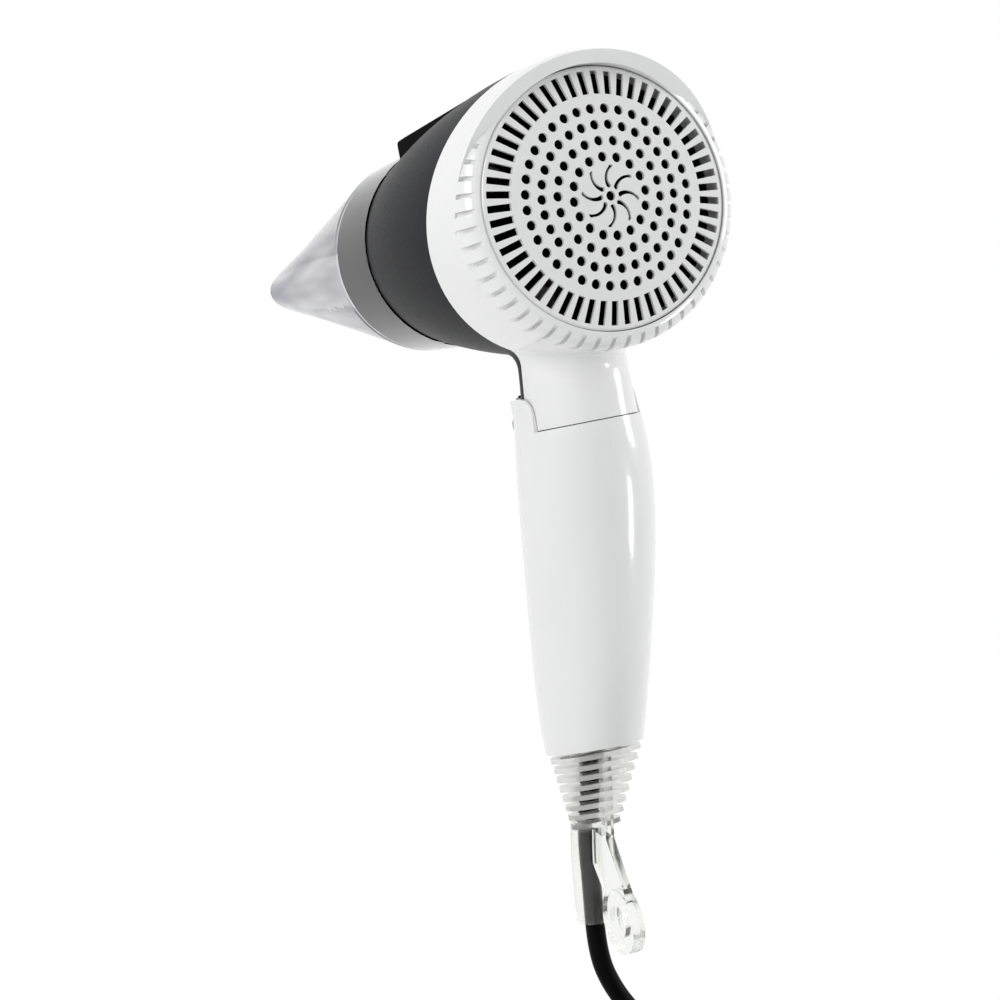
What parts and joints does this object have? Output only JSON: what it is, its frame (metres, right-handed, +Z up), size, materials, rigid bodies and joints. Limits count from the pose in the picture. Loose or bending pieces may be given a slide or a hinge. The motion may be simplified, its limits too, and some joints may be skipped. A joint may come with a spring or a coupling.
{
  "type": "hair dryer",
  "caption": "Folding hair dryer with a tapered barrel, perforated inlet grille, clear flat nozzle, curved grip, ribbed cord boot with hanging ring, and a mains cord with plug.",
  "frame": {"origin": "middle of the hand grip, on the handle's axis", "axes": "+X the way the air leaves, +Y the dryer's left, +Z up; the barrel lies along X and the handle leans forward"},
  "size_m": [0.2267, 0.1498, 0.3358],
  "materials": {
    "white_shell": "polished white",
    "charcoal_shell": "satin charcoal",
    "black_plastic": "satin black",
    "clear_plastic": "clear moulded plastic",
    "clear_boot": "soft translucent moulding",
    "grey_cord": "matte cord sheath",
    "steel": "plain steel",
    "brass": "nickel-plated brass",
    "mica": "mica sheet",
    "board": "paper laminate",
    "white_part": "plain off-white",
    "wire": "insulated wire"
  },
  "bodies": {
    "handle": {"handle_left_shell": "white_shell", "handle_right_shell": "white_shell", "switch_plate": "black_plastic", "handle_screws": "steel", "speed_switch_body": "black_plastic", "heat_switch_body": "black_plastic", "cool_switch_body": "black_plastic", "capacitor": "white_part", "cord_clamp": "black_plastic", "hinge_pin": "steel", "handle_leads": "wire", "strain_relief": "clear_boot", "inner_cord": "grey_cord", "mains_cord": "grey_cord", "cord_coil": "grey_cord", "cord_tie": "black_plastic", "cord_tail": "grey_cord", "plug_body": "black_plastic", "plug_pins": "brass"},
    "head": {"rear_shell": "white_shell", "front_shell": "charcoal_shell", "top_hood": "black_plastic", "hinge_knuckle": "black_plastic", "fan_duct": "black_plastic", "motor_can": "steel", "motor_end_cap": "black_plastic", "rectifier_board": "board", "heater_tube": "mica", "mica_cross": "mica", "heater_coils": "steel", "thermostat": "white_part", "thermal_fuse": "steel", "outlet_grille": "black_plastic", "head_leads": "wire"},
    "grille": {"rear_grille": "white_shell"},
    "nozzle": {"nozzle": "clear_plastic"},
    "fan": {"impeller": "black_plastic", "motor_shaft": "steel"},
    "speed_slider": {"speed_slider": "black_plastic"},
    "heat_slider": {"heat_slider": "black_plastic"},
    "cool_button": {"cool_button": "black_plastic"}
  },
  "joints": [
    {"name": "neck_fold", "type": "hinge", "parent": "handle", "child": "head", "pos_m": [0.00461, 0, 0.04697], "axis": [0, 1, 0], "range_deg": [0, 75]},
    {"name": "nozzle_swivel", "type": "hinge", "parent": "head", "child": "nozzle", "pos_m": [0.0651, 0, 0.1086], "axis": [1, 0, 0], "continuous": true},
    {"name": "grille_twist", "type": "hinge", "parent": "head", "child": "grille", "pos_m": [-0.0519, 0, 0.1086], "axis": [1, 0, 0], "range_deg": [0, 20]},
    {"name": "fan_spin", "type": "hinge", "parent": "head", "child": "fan", "pos_m": [-0.0409, 0, 0.1086], "axis": [1, 0, 0], "continuous": true},
    {"name": "speed_slide", "type": "slide", "parent": "handle", "child": "speed_slider", "axis": [-0.3355, 0, 0.9421], "range_m": [0, 0.008]},
    {"name": "heat_slide", "type": "slide", "parent": "handle", "child": "heat_slider", "axis": [-0.3355, 0, 0.9421], "range_m": [0, 0.008]},
    {"name": "cool_press", "type": "slide", "parent": "handle", "child": "cool_button", "axis": [-0.9421, 0, -0.3355], "range_m": [0, 0.0016], "stiffness_N_per_m": 800, "springref_m": -0.001}
  ]
}
